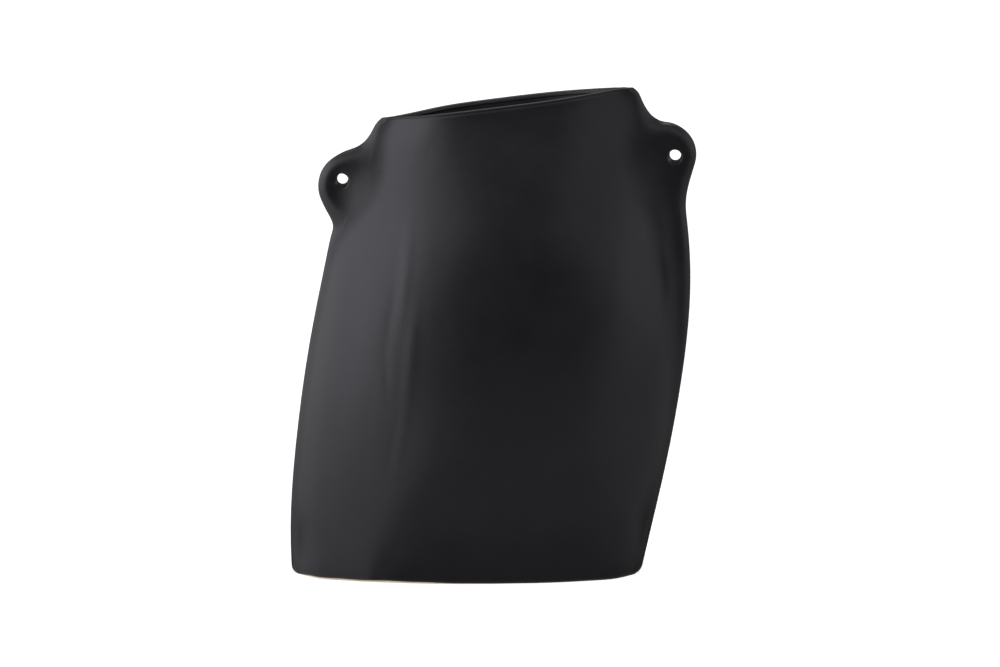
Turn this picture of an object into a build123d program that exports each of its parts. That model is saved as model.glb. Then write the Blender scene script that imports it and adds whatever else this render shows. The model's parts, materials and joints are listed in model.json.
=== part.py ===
from build123d import *
from dataclasses import astuple, dataclass
from math import acos, atan2, cos, degrees, pi, radians, sin, tan
import os

# A leaning pillow vase, built from slabs of stoneware, in millimetres.
# X runs to the viewer's right, Y to the back and Z up; the origin is the middle of the foot.

# Heights, each one measured up from the level below it
FOOT_BEVEL = 2.0          # bevel round the foot, where the glaze is wiped back
HIP_HEIGHT = 46.0         # table to the hip
BELLY_RISE = 62.0         # hip to the widest level
SHOULDER_RISE = 78.0      # widest level to the notch under the ears
EAR_RISE = 22.0           # notch to the middle of an ear
NECK_RISE = 1.6           # top of the ears to the foot of the neck
RIM_RISE = 16.4           # foot of the neck to the rim

# Widths of the pressed seam outline
FOOT_WIDTH = 177.0
HIP_WIDTH = 186.4
BELLY_WIDTH = 190.0
SHOULDER_WIDTH = 174.8
NECK_INSET = 15.2         # notch in to the foot of the neck, on each side
RIM_INSET = 10.2          # foot of the neck in to the end of the rim, on each side

# Depths of the pillow, front to back
FOOT_DEPTH = 44.0
HIP_DEPTH = 64.0
BELLY_DEPTH = 74.0
SHOULDER_DEPTH = 58.0
NECK_DEPTH = 31.0
RIM_DEPTH = 23.0

# Fullness of the slices: 0 is a lens with sharp tips, 1 is close to an ellipse
FOOT_FULLNESS = 1.0
HIP_FULLNESS = 0.6
BELLY_FULLNESS = 0.4
SHOULDER_FULLNESS = 0.1
RIM_FULLNESS = 0.2

# The slump of the soft clay: sideways lean, and tilt up to the right in degrees
HIP_LEAN = 5.2
BELLY_LEAN = 14.2
SHOULDER_LEAN = 20.8
HIP_TILT = 1.0
BELLY_TILT = 2.4
SHOULDER_TILT = 4.7
EAR_TILT = 5.5
HOLE_TILT = 4.2
RIM_TILT = 7.2

# Clay
WALL = 4.4                # thickness of the front and back slabs
FLOOR_THICKNESS = 6.0
SEAM_THICKNESS = 8.0      # front and back slabs pressed together, and the ears
FOOT_SEAM = 0.5           # flat of the seam outside the pillow, at the foot
SEAM_WIDTH = 3.0          # the same along the flanks and the rim
PINCH_WIDTH = 8.0         # the same on the right shoulder, pinched wider

# Ears
EAR_RADIUS = 16.0
EAR_INSET = 10.0          # notch in to the middle of an ear
TONGUE = 6.0              # part of an ear that is set into the seam
HOLE_DIAMETER = 6.4
HOLE_OFFSET = 5.0         # middle of an ear out to its hole
HOLE_LIFT = 0.8           # middle of an ear up to its hole
HOLE_ROUND = 1.4          # rounded mouth of a hole

# Roundings of the outline, and the flats left between rounded edges
FOOT_CORNER = 4.5
NOTCH_RADIUS = 4.0
NECK_RADIUS = 8.0
RIM_CORNER = 6.0
EDGE_FLAT = 1.2           # on the seam and the ears
LIP_FLAT = 1.2            # on the rim
ROUNDING_SHARE = 0.9      # of the shorter edge beside a corner, the most that its rounding may take

# Coils of clay worked into the inside corners
SEAM_COIL = 6.0
FLOOR_COIL = 5.0
COIL_LEDGE = 0.5

SWELL = 2 / 3             # a curve with two handles at this share of its depth reaches that depth
LEFT = -1
RIGHT = 1
SLICES = 14               # even steps of the loft, from the foot to above the rim
MOUTH_OVERSHOOT = 12.0    # pillow and hollow are drawn past the rim, then cut
REACH = 400.0             # longer than the vase, for cutting
TOUCH = 0.001             # nearer than this, an edge ends at a corner


@dataclass
class Level:
    """A slice across the leaning body, in its own tilted plane."""

    height: float
    lean: float
    tilt: float
    width: float
    depth: float = 0.0
    fullness: float = 0.0
    left_seam: float = 0.0
    right_seam: float = 0.0

    def point(self, across, rise=0.0):
        """A point of the seam plane, as its X and Z."""
        turn = radians(self.tilt)
        x = self.lean + across * cos(turn) - rise * sin(turn)
        z = self.height + across * sin(turn) + rise * cos(turn)
        return Vector(x, z)

    def edge(self, side):
        """The seam outline on one side."""
        return self.point(side * self.width / 2)

    def tip(self, side):
        """Where the pillow starts on one side, measured from the middle of the level."""
        seam = self.left_seam if side == LEFT else self.right_seam
        return side * (self.width / 2 - seam)

    def lead(self, left, right):
        """How far in from its tips a slice has its full swell."""
        return (right - left) / 3 * (1 - self.fullness)

    def inner_tip(self, side):
        """Where the hollow starts on one side."""
        edge_angle = atan2(self.depth * SWELL, self.lead(self.tip(LEFT), self.tip(RIGHT)))
        return self.tip(side) - side * WALL / sin(edge_angle)

    def plane(self):
        turn = radians(self.tilt)
        return Plane(
            origin=(self.lean, 0, self.height),
            x_dir=(cos(turn), 0, sin(turn)),
            z_dir=(-sin(turn), 0, cos(turn)),
        )


def pillow_slice(level, left, right, depth):
    """A slice between two tips, swelling to its depth in the middle."""
    lead = level.lead(left, right)
    swell = depth * SWELL
    front = Bezier((left, 0), (left + lead, -swell), (right - lead, -swell), (right, 0))
    back = Bezier((right, 0), (right - lead, swell), (left + lead, swell), (left, 0))
    return level.plane() * make_face([front, back])


def outside(level):
    return pillow_slice(level, level.tip(LEFT), level.tip(RIGHT), level.depth)


def inside(level):
    return pillow_slice(level, level.inner_tip(LEFT), level.inner_tip(RIGHT), level.depth - 2 * WALL)


def touch_point(start, middle, radius, turn):
    """Where a line from a point touches a circle, on the side given by the turn."""
    reach = start - middle
    swing = degrees(acos(radius / reach.length))
    return middle + reach.normalized().rotate(Axis.Z, turn * swing) * radius


def rounded(sketch, corner, radius):
    """The sketch with one corner rounded, as far as the two edges beside it have room."""
    vertex = sketch.vertices().sort_by_distance(corner)[0]
    beside = [edge for edge in sketch.edges() if edge.distance_to(vertex) < TOUCH]
    ways = [edge.tangent_at(vertex.center()) for edge in beside]
    turn = radians(ways[0].get_angle(ways[1]))
    half_turn = min(turn, pi - turn) / 2
    room = min(edge.length for edge in beside) * ROUNDING_SHARE
    return fillet(vertex, min(radius, room / tan(half_turn)))


def eased(heights, values, at):
    """A smooth curve through the values at the given heights."""
    spans = [high - low for low, high in zip(heights, heights[1:])]
    grades = [(high - low) / span for low, high, span in zip(values, values[1:], spans)]
    slopes = [grades[0]]
    for index in range(1, len(spans)):
        below = spans[index - 1]
        above = spans[index]
        slopes.append((grades[index - 1] * above + grades[index] * below) / (below + above))
    slopes.append(grades[-1])
    index = max(i for i in range(len(spans)) if heights[i] <= at)
    span = spans[index]
    share = (at - heights[index]) / span
    straight = values[index] + grades[index] * span * share
    start = (slopes[index] - grades[index]) * span
    end = (grades[index] - slopes[index + 1]) * span
    return straight + share * (1 - share) * (start * (1 - share) + end * share)


belly_height = HIP_HEIGHT + BELLY_RISE
shoulder_height = belly_height + SHOULDER_RISE
ear_height = shoulder_height + EAR_RISE
neck_height = ear_height + EAR_RADIUS + NECK_RISE
rim_height = neck_height + RIM_RISE
neck_width = SHOULDER_WIDTH - 2 * NECK_INSET
rim_width = neck_width - 2 * RIM_INSET
edge_radius = (SEAM_THICKNESS - EDGE_FLAT) / 2
lip_radius = (WALL - LIP_FLAT) / 2

toe = Level(
    0, 0, 0, FOOT_WIDTH - 2 * FOOT_BEVEL, FOOT_DEPTH - 2 * FOOT_BEVEL, FOOT_FULLNESS, FOOT_SEAM, FOOT_SEAM
)
foot = Level(FOOT_BEVEL, 0, 0, FOOT_WIDTH, FOOT_DEPTH, FOOT_FULLNESS, FOOT_SEAM, FOOT_SEAM)
hip = Level(HIP_HEIGHT, HIP_LEAN, HIP_TILT, HIP_WIDTH, HIP_DEPTH, HIP_FULLNESS, SEAM_WIDTH, SEAM_WIDTH)
belly = Level(
    belly_height, BELLY_LEAN, BELLY_TILT, BELLY_WIDTH, BELLY_DEPTH, BELLY_FULLNESS, SEAM_WIDTH, SEAM_WIDTH
)
shoulder = Level(
    shoulder_height, SHOULDER_LEAN, SHOULDER_TILT, SHOULDER_WIDTH, SHOULDER_DEPTH, SHOULDER_FULLNESS,
    SEAM_WIDTH, PINCH_WIDTH
)
neck = Level(
    neck_height, SHOULDER_LEAN, SHOULDER_TILT, neck_width, NECK_DEPTH, SHOULDER_FULLNESS,
    SEAM_WIDTH, SEAM_WIDTH
)
rim = Level(rim_height, SHOULDER_LEAN, RIM_TILT, rim_width, RIM_DEPTH, RIM_FULLNESS, SEAM_WIDTH, SEAM_WIDTH)
above = rim.point(0, MOUTH_OVERSHOOT)
mouth = Level(above.Y, above.X, RIM_TILT, rim_width, RIM_DEPTH, RIM_FULLNESS, SEAM_WIDTH, SEAM_WIDTH)
named_levels = [foot, hip, belly, shoulder, neck, rim, mouth]


def level_at(height):
    """The slice across the body at any height."""
    heights = [level.height for level in named_levels]
    columns = zip(*[astuple(level) for level in named_levels])
    return Level(*[eased(heights, column, height) for column in columns])


slice_step = (mouth.height - foot.height) / SLICES
levels = [level_at(foot.height + slice_step * index) for index in range(SLICES + 1)]

ears = Level(ear_height, SHOULDER_LEAN, EAR_TILT, SHOULDER_WIDTH - 2 * EAR_INSET)
holes = Level(ear_height + HOLE_LIFT, SHOULDER_LEAN, HOLE_TILT, ears.width + 2 * HOLE_OFFSET)


def flank(side):
    """The seam outline of one side, from the foot up to the rim."""
    notch = shoulder.edge(side)
    neck_foot = neck.edge(side)
    middle = ears.edge(side)
    low = touch_point(notch, middle, EAR_RADIUS, side)
    high = touch_point(neck_foot, middle, EAR_RADIUS, -side)
    brow = middle + (low + high - middle * 2).normalized() * EAR_RADIUS
    return [
        Spline(toe.point(side * FOOT_WIDTH / 2), hip.edge(side), belly.edge(side), notch),
        Line(notch, low),
        ThreePointArc(low, brow, high),
        Line(high, neck_foot),
        Line(neck_foot, rim.edge(side)),
    ]


# The seam plate: the outline of foot, flanks, ears and rim, with every edge rounded
outline = make_face(
    flank(LEFT)
    + flank(RIGHT)
    + [Line(toe.point(-FOOT_WIDTH / 2), toe.point(FOOT_WIDTH / 2)), Line(rim.edge(LEFT), rim.edge(RIGHT))]
)
for side in (LEFT, RIGHT):
    outline = rounded(outline, toe.point(side * FOOT_WIDTH / 2), FOOT_CORNER)
    outline = rounded(outline, shoulder.edge(side), NOTCH_RADIUS)
    outline = rounded(outline, neck.edge(side), NECK_RADIUS)
    outline = rounded(outline, rim.edge(side), RIM_CORNER)
seam_plate = extrude(Plane.XZ * outline, SEAM_THICKNESS / 2, both=True)
broad_faces = seam_plate.faces().sort_by(Axis.Y)
plate_edges = broad_faces[0].edges() + broad_faces[-1].edges()
seam_plate = fillet(plate_edges, edge_radius)

# The pillow, its bevelled foot and its hollow
pillow = split(loft([outside(level) for level in levels]), rim.plane(), Keep.BOTTOM)
bevel = loft([outside(toe), outside(foot)], ruled=True)
floor_plane = Plane.XY.offset(FLOOR_THICKNESS)
hollow = split(loft([inside(level) for level in levels]), floor_plane, Keep.TOP)
shell = seam_plate + pillow + bevel - hollow


def ear_pocket(side):
    """The block of the seam that one ear and its tongue fill."""
    low = shoulder.edge(side)
    high = neck.edge(side)
    outward = (high - low).normalized().rotate(Axis.Z, -90 * side)
    corners = [
        low - outward * TONGUE,
        high - outward * TONGUE,
        high + outward * REACH,
        low + outward * REACH,
    ]
    block = make_face(Polyline(corners, close=True))
    return extrude(Plane.XZ * block, SEAM_THICKNESS, both=True)


def pierced_ear(side):
    """An ear with its round-mouthed hole."""
    middle = holes.edge(side)
    bore = Plane.XZ * Pos(middle.X, middle.Y) * Cylinder(HOLE_DIAMETER / 2, REACH)
    ear = (shell & ear_pocket(side)) - bore
    mouths = ear.edges().filter_by(GeomType.CIRCLE)
    mouths = mouths.filter_by(lambda edge: abs(edge.radius - HOLE_DIAMETER / 2) < 0.01)
    return fillet(mouths, HOLE_ROUND)


left_ear = pierced_ear(LEFT)
right_ear = pierced_ear(RIGHT)
slabs = shell - ear_pocket(LEFT) - ear_pocket(RIGHT)
floor_slab = split(slabs, floor_plane, Keep.BOTTOM)
walls = split(slabs, floor_plane, Keep.TOP)


def lipped(wall):
    """A wall with the inner and outer edges of its rim rounded."""
    rim_faces = wall.faces().filter_by(rim.plane())
    lip_edges = rim_faces.edges().filter_by(lambda edge: abs(edge.center().Y) > lip_radius / 10)
    return fillet(lip_edges, lip_radius)


front_wall = lipped(split(walls, Plane.XZ, Keep.TOP))
back_wall = lipped(split(walls, Plane.XZ, Keep.BOTTOM))

# The coils: one round the floor, and one up each side seam to the neck
coil_top = FLOOR_THICKNESS + FLOOR_COIL
coil_plane = Plane.XY.offset(coil_top)
floor_hollow = split(hollow, coil_plane, Keep.BOTTOM)
seam_hollow = split(split(hollow, coil_plane, Keep.TOP), neck.plane(), Keep.BOTTOM)


def basin(height, inset):
    """The slice of the hollow at the floor, drawn in by an inset."""
    left = foot.inner_tip(LEFT) + inset
    right = foot.inner_tip(RIGHT) - inset
    return Pos(0, 0, height - FOOT_BEVEL) * pillow_slice(foot, left, right, foot.depth - 2 * WALL - 2 * inset)


def seam_strip(side):
    """The strip of the hollow along one side seam."""
    inner = [level.point(level.inner_tip(side) - side * SEAM_COIL) for level in levels]
    outer_top = inner[-1] + Vector(side * REACH, 0)
    outer_foot = inner[0] + Vector(side * REACH, 0)
    strip = make_face([Spline(inner), Polyline(inner[-1], outer_top, outer_foot, inner[0])])
    return extrude(Plane.XZ * strip, BELLY_DEPTH, both=True)


slope = loft([basin(FLOOR_THICKNESS, FLOOR_COIL), basin(coil_top, COIL_LEDGE)], ruled=True)
floor_seam_coil = floor_hollow - slope
left_seam_coil = seam_hollow & seam_strip(LEFT)
right_seam_coil = seam_hollow & seam_strip(RIGHT)

pieces = {
    "front_wall": front_wall,
    "back_wall": back_wall,
    "floor_slab": floor_slab,
    "left_ear": left_ear,
    "right_ear": right_ear,
    "left_seam_coil": left_seam_coil,
    "right_seam_coil": right_seam_coil,
    "floor_seam_coil": floor_seam_coil,
}
os.makedirs("parts", exist_ok=True)
for name, piece in pieces.items():
    print(name, len(piece.solids()), piece.is_valid, round(piece.volume), piece.bounding_box())
    export_step(piece, f"parts/{name}.step")
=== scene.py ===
# %% [markdown]
# # A leaning pillow vase in black satin glaze
# The real vase is built from two soft slabs of clay, pressed together along their sides and blown
# out like a filled pillow. It leans, its mouth is a slit that climbs to the right, and each
# shoulder carries a small pierced ear. The packed clay pieces are the frame: every mesh below is
# read off them, so it sits where they sit, in metres.

# %% Load the packed clay pieces
import json
import math
import bmesh
import bpy
import numpy as np
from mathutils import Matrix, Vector
from mathutils.bvhtree import BVHTree

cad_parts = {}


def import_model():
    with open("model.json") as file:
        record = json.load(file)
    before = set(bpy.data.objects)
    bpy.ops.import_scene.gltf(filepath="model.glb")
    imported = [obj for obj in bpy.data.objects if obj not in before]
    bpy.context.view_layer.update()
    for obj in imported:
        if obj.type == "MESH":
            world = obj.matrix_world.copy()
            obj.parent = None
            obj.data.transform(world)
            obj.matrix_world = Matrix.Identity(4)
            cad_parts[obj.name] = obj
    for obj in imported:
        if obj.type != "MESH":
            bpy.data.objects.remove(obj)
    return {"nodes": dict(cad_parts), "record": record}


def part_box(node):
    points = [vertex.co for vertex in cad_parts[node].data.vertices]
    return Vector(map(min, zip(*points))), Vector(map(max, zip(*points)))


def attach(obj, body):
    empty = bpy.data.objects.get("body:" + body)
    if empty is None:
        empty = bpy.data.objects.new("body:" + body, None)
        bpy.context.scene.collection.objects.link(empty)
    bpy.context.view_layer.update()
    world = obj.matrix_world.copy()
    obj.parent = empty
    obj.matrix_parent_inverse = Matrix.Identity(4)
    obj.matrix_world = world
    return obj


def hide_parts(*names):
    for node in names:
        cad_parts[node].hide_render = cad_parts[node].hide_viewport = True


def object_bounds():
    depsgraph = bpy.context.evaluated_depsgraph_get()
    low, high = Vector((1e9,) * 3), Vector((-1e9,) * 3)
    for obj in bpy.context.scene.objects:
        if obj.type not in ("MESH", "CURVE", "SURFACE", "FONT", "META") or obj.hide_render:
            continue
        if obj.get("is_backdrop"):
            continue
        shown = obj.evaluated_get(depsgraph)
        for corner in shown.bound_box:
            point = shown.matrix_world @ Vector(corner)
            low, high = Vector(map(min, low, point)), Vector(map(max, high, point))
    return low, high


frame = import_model()
clay_box = [list(corner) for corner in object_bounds()]
MM = 0.001
print("clay pieces:", sorted(frame["nodes"]))
print("clay box in mm:", [[round(value / MM, 1) for value in corner] for corner in clay_box])

# %% [markdown]
# ## The seam outline
# Seen from the front, the pressed seam is the outline of the vase: flank, ear, neck. It could be
# typed in again as numbers, but the solids already hold it. Rays cast from outside, just in front
# of the plane where the two slabs meet, find it and follow every change of the clay.

# %% Cast rays at the clay
FRONT = -1
BACK = 1
SIDES = {"left": -1, "right": 1}
SEAM_PLANE = -0.2 * MM                  # just in front of the plane where the slabs meet
AWAY = 0.5                              # a start well outside the vase


def clay_tree(*names):
    """A tree for ray casts over several clay pieces."""
    corners = []
    faces = []
    for name in names:
        mesh = frame["nodes"][name].data
        start = len(corners)
        corners += [vertex.co.copy() for vertex in mesh.vertices]
        faces += [[start + index for index in polygon.vertices] for polygon in mesh.polygons]
    return BVHTree.FromPolygons(corners, faces)


def seam_hit(tree, start, toward):
    """The X and Z where a ray in the seam plane first meets the clay."""
    hit = tree.ray_cast(Vector((start[0], SEAM_PLANE, start[1])), Vector((toward[0], 0, toward[1])))[0]
    return np.array((hit.x, hit.z))


def unit(vector):
    return vector / np.linalg.norm(vector)


def mix(first, second, share):
    return first + (second - first) * share


def eased_step(values, low, high):
    """0 below low, 1 above high, and a smooth climb between."""
    share = np.clip((values - low) / (high - low), 0, 1)
    return share * share * (3 - 2 * share)


wall_tree = clay_tree("front_wall", "floor_slab")
neck_tree = clay_tree("front_wall")
ear_trees = {name: clay_tree(f"{name}_ear") for name in SIDES}
mounts = {mount["name"]: mount for mount in frame["record"]["mounts"]}
holes = {name: np.array(mounts[f"{name}_ear_hole"]["pos_m"])[[0, 2]] for name in SIDES}
print("hole middles in mm:", {name: np.round(place / MM, 2).tolist() for name, place in holes.items()})

# %% [markdown]
# Each ear is set into the seam with a straight tongue. The joint is drawn again here from the
# ear's own corners, so that the wall and the ear share one line and no gap opens between them.

# %% Find the joint of each ear
NUDGE = 0.05 * MM                       # a ray along a joint runs just inside the ear
joints = {}
for name, side in SIDES.items():
    points = np.array([vertex.co for vertex in frame["nodes"][f"{name}_ear"].data.vertices])[:, [0, 2]]
    low = points[points[:, 1].argmin()]
    high = points[(side * points[:, 0]).argmin()]
    along = unit(high - low)
    outward = side * np.array((along[1], -along[0]))
    notch = seam_hit(ear_trees[name], low + along * NUDGE + outward * AWAY, -outward)
    collar = seam_hit(ear_trees[name], high - along * NUDGE + outward * AWAY, -outward)
    joints[name] = {"low": low, "high": high, "notch": notch, "collar": collar}
    in_mm = {key: np.round(place / MM, 1).tolist() for key, place in joints[name].items()}
    print(name, "joint in mm:", in_mm)

# %% [markdown]
# The rim is a cut that climbs to the right. Rays cast straight down find its height all along the
# mouth, and each of its corners lies where that line meets the neck.

# %% Find the rim
RIM_STEP = 0.5 * MM
RIM_SPAN = (-30 * MM, 72 * MM)          # a stretch of the rim well clear of its corners
MOUTH_DEPTHS = np.linspace(-0.1, -13, 40) * MM


def rim_height(x):
    """The highest clay above one place of the seam, or nothing beside the neck."""
    hits = [neck_tree.ray_cast(Vector((x, y, AWAY)), Vector((0, 0, -1)))[0] for y in MOUTH_DEPTHS]
    return max((hit.z for hit in hits if hit), default=0.0)


rim_ends = [np.array((x, rim_height(x))) for x in RIM_SPAN]
rim_along = unit(rim_ends[1] - rim_ends[0])
rim_up = np.array((-rim_along[1], rim_along[0]))
rim_slope = rim_along[1] / rim_along[0]
NECK_SAMPLES = (4 * MM, 9 * MM)         # heights above the collar, on the straight of the neck
CORNER_AWAY = 50 * MM                   # a start outside a corner of the rim
for name, side in SIDES.items():
    heights = [joints[name]["collar"][1] + step for step in NECK_SAMPLES]
    first, second = [seam_hit(neck_tree, (side * AWAY, height), (-side, 0)) for height in heights]
    neck_along = unit(second - first)
    neck_out = side * np.array((neck_along[1], -neck_along[0]))
    reach = (rim_ends[0] - first) @ rim_up / (neck_along @ rim_up)
    toward = unit(neck_out + rim_up)
    joints[name]["corner"] = seam_hit(neck_tree, first + neck_along * reach + toward * CORNER_AWAY, -toward)
    print(name, "rim corner in mm:", np.round(joints[name]["corner"] / MM, 1).tolist())

# %% [markdown]
# The solids keep the outline plain. Fired clay is softer: the notch under the right ear has sunk
# into a long hollow, and here and there the edge stands a little further out. So the points of the
# outline are first drawn towards their neighbours and then eased one by one, by a millimetre or so.

# %% Follow and ease the outline
OUTLINE_STEP = 1.0 * MM
EAR_POINTS = 72
FLOOR_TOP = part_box("floor_slab")[1].z
FOOT_STRAIGHT = FLOOR_TOP + OUTLINE_STEP   # below this the flank runs on straight
FOOT_POINTS = 17                        # on the straight, crowded towards the table
FOOT_LOWEST = 0.1                       # squared, the lowest of them as a share of the straight
LEAN_STEPS = 4                          # the straight leans as the flank does over these steps
FOOT_CORNER_WIDTH = 2.6 * MM
FOOT_CORNER_HEIGHT = 4.4 * MM
SOFTENING_ROUNDS = 48
SOFT_ALL_ROUND = 0.05
SOFT_PLACES = {"left": ("collar", 7 * MM, 0.12), "right": ("notch", 11 * MM, 0.5)}
# Listed eases: middle X and Z, reach, push in X and in Z, all in mm
EASES = (
    (-75, 206, 13, -0.7, 0.0),
    (-73, 193, 7, -1.1, -0.2),
    (-66, 181, 5, 0.9, 0.0),
    (-45, 233, 6, -1.3, 0.2),
    (-78, 122, 42, -0.6, 0.0),
    (-89, 18, 44, -0.6, 0.0),
    (110, 197, 13, 0.1, 0.0),
    (112, 150, 42, 0.5, 0.0),
    (97, 55, 40, 0.4, 0.0),
    (97, 235, 6, 1.2, 0.4),
    (-59, 219, 5, -0.9, 0.5),
    (86, 248, 5, 1.0, 0.2),
)

# %% Ease a line
def eased(places):
    """Places of the outline, moved to where the fired clay has them."""
    moved = places.copy()
    for x, z, reach, push_x, push_z in EASES:
        near = np.exp(-(np.hypot(places[:, 0] / MM - x, places[:, 1] / MM - z) / reach) ** 2)
        moved += near[:, None] * np.array((push_x, push_z)) * MM
    return moved


# %% Follow a flank and an ear
def flank_line(name, notch):
    """The outline from the table up to the notch."""
    side = SIDES[name]
    heights = np.arange(FOOT_STRAIGHT, notch[1], OUTLINE_STEP)
    upper = np.array([seam_hit(wall_tree, (side * AWAY, height), (-side, 0)) for height in heights])
    lean = upper[LEAN_STEPS] - upper[0]
    lean = lean / lean[1]
    drops = FOOT_STRAIGHT * (np.linspace(FOOT_LOWEST, 1, FOOT_POINTS + 1)[:-1] ** 2 - 1)
    lower = upper[0] + drops[:, None] * lean
    sunk = np.clip(1 - lower[:, 1] / FOOT_CORNER_HEIGHT, 0, 1)
    lower[:, 0] -= side * FOOT_CORNER_WIDTH * (1 - np.sqrt(1 - sunk ** 2))
    return np.vstack([lower, upper])


def ear_line(name, notch, collar):
    """The outline of one ear, from the notch round to the collar, swept about its hole."""
    side = SIDES[name]
    arms = (notch - holes[name], collar - holes[name])
    first, last = [math.atan2(arm[1], side * arm[0]) for arm in arms]
    points = [notch]
    for angle in np.linspace(first, last, EAR_POINTS + 1)[1:-1]:
        toward = np.array((side * math.cos(angle), math.sin(angle)))
        points.append(seam_hit(ear_trees[name], holes[name] + toward * AWAY, -toward))
    return np.array(points + [collar])


# %% Trace both sides
outlines = {}
marks = {}
for name, side in SIDES.items():
    notch, collar, corner = [joints[name][key] for key in ("notch", "collar", "corner")]
    heights = np.arange(collar[1] + OUTLINE_STEP, corner[1], OUTLINE_STEP)
    neck = [seam_hit(neck_tree, (side * AWAY, height), (-side, 0)) for height in heights]
    flank = flank_line(name, notch)
    line = np.vstack([flank, ear_line(name, notch, collar), neck, [corner]])
    key, reach, strength = SOFT_PLACES[name]
    away = np.linalg.norm(line - joints[name][key], axis=1)
    pull = SOFT_ALL_ROUND + strength * np.exp(-(away / reach) ** 2)
    for _ in range(SOFTENING_ROUNDS):
        line[1:-1] += pull[1:-1, None] * ((line[:-2] + line[2:]) / 2 - line[1:-1])
    outlines[name] = eased(line)
    marks[name] = (len(flank), len(flank) + EAR_POINTS)
    for key, index in zip(("notch", "collar", "corner"), (*marks[name], -1)):
        joints[name][key] = outlines[name][index]
    print(name, "outline points:", len(line))


def flank_point(name, height):
    """The outline of one flank at a height."""
    line = outlines[name][:marks[name][0] + 1]
    return np.array((np.interp(height, line[:, 1], line[:, 0]), height))


def neck_point(name, height):
    """The outline of one side of the neck at a height."""
    line = outlines[name][marks[name][1]:]
    return np.array((np.interp(height, line[:, 1], line[:, 0]), height))


# %% [markdown]
# ## The swell of the body
# How far the body stands out from the seam plane is one smooth field. Rays read it off the walls
# on a grid. The walls carry a flat flange along their sides that the fired vase only keeps on its
# right shoulder, so beside the outline the field is carried on from further in, in the same curve.

# %% Read the swell off the walls
GRID_STEP = 1.0 * MM
GRID_MARGIN = 6 * MM
LIP_CLEAR = 2.0 * MM                    # rays this near the rim would meet its rounding
SPONGE = 1.6 * MM                       # how far the field is softened, as a wet sponge would
WIDE_SPONGE = 4 * SPONGE                # and beyond the clay, where no ray met it
TRUSTED = (0.02, 0.3)                   # share of rays that met clay, from the wide field to the near
NOTHING = 1e-12                         # keeps a division away from zero

grid_x = np.arange(clay_box[0][0] - GRID_MARGIN, clay_box[1][0] + GRID_MARGIN, GRID_STEP)
grid_z = np.arange(clay_box[0][2] - GRID_MARGIN, clay_box[1][2] + GRID_MARGIN, GRID_STEP)
shape = (len(grid_x), len(grid_z))
swell = np.zeros(shape)
known = np.zeros(shape)
for i, x in enumerate(grid_x):
    rim_here = rim_ends[0][1] + (x - rim_ends[0][0]) * rim_slope - LIP_CLEAR
    for j, z in enumerate(grid_z):
        level = min(max(z, GRID_STEP / 2), rim_here)
        hit = wall_tree.ray_cast(Vector((x, -AWAY, level)), Vector((0, 1, 0)))[0]
        if hit:
            swell[i, j] = -hit.y
            known[i, j] = 1
print("rays that met clay:", int(known.sum()), "deepest swell in mm:", round(swell.max() / MM, 2))

# %% Soften the swell
def sponged(field, reach):
    """A field softened over a reach, in both directions."""
    taps = np.arange(-int(3 * reach / GRID_STEP), int(3 * reach / GRID_STEP) + 1)
    weights = np.exp(-0.5 * (taps * GRID_STEP / reach) ** 2)
    for axis in (0, 1):
        field = sum(weight * np.roll(field, tap, axis) for tap, weight in zip(taps, weights))
    return field


near_weight = sponged(known, SPONGE)
near_swell = sponged(swell * known, SPONGE) / np.maximum(near_weight, NOTHING)
wide_weight = sponged(known, WIDE_SPONGE)
wide_swell = sponged(swell * known, WIDE_SPONGE) / np.maximum(wide_weight, NOTHING)
trust = eased_step(near_weight / near_weight.max(), *TRUSTED)
soft_swell = mix(wide_swell, near_swell, trust)


# %% Read the swell between its grid points
def spline_shares(t):
    """How much each of four neighbours on the grid counts, for a curve without corners."""
    first = (1 - t) ** 3 / 6
    second = (3 * t ** 3 - 6 * t ** 2 + 4) / 6
    third = (3 * t * (1 + t - t ** 2) + 1) / 6
    return first, second, third, t ** 3 / 6


def field_at(field, x, z):
    """A field of the grid, read between its grid points."""
    across = np.clip((x - grid_x[0]) / GRID_STEP, 1, shape[0] - 3)
    up = np.clip((z - grid_z[0]) / GRID_STEP, 1, shape[1] - 3)
    i = across.astype(int)
    j = up.astype(int)
    result = 0
    for a, share_x in enumerate(spline_shares(across - i), -1):
        for b, share_z in enumerate(spline_shares(up - j), -1):
            result = result + share_x * share_z * field[i + a, j + b]
    return result


# %% [markdown]
# The edge of the body runs up the flank, passes behind the ear and goes on up the neck. Beside it
# the swell is carried on as a parabola through three places further in. Where that parabola would
# meet the seam plane too early or too late, it is slid along its row, and a last roundness is
# added on the flank, at the foot and on the neck, as the clay set rounder than the solids there.

# %% Sizes of the swell beside the edge
SHOULDER = (150 * MM, 205 * MM)         # over these heights the flank turns into the neck
FLANGE = (9 * MM, 20 * MM)              # this far in, flank and neck are clear of their flange
STRETCH_REACH = 36 * MM
FLANK_FULL = 0.8 * MM                   # how much rounder than the walls the flank has set
FLANK_REACH = 10 * MM
FLANK_SPAN = (130 * MM, 232 * MM)
FOOT_FULL = 1.2 * MM                    # how much more the two ends of the foot
FOOT_REACH = 13 * MM
FOOT_SPAN = (1 * MM, 22 * MM)
NECK_FULL = {"left": 3.6 * MM, "right": 3.0 * MM}     # and how much rounder the neck
NECK_CREST = {"left": -10 * MM, "right": 42 * MM}     # it is fullest above these places
NECK_SPAN = (185 * MM, 236 * MM)
PINCH_RISE = (70 * MM, 150 * MM)        # the right flange fades in and out over these heights
PINCH_FALL = (195 * MM, 240 * MM)
PINCH_SIDE = (30 * MM, 60 * MM)         # and it is on the right only
PINCH_WIDTH = 6.5 * MM
EAR_TURN = 5 * MM                       # how softly the edge of the body passes behind an ear
TURN_TAPS = 15
SOFT_FROM = (8 * MM, 30 * MM)           # the foot keeps its plain outline
EDGE_LEVELS = 260                       # the edge is kept at every millimetre of height
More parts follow.
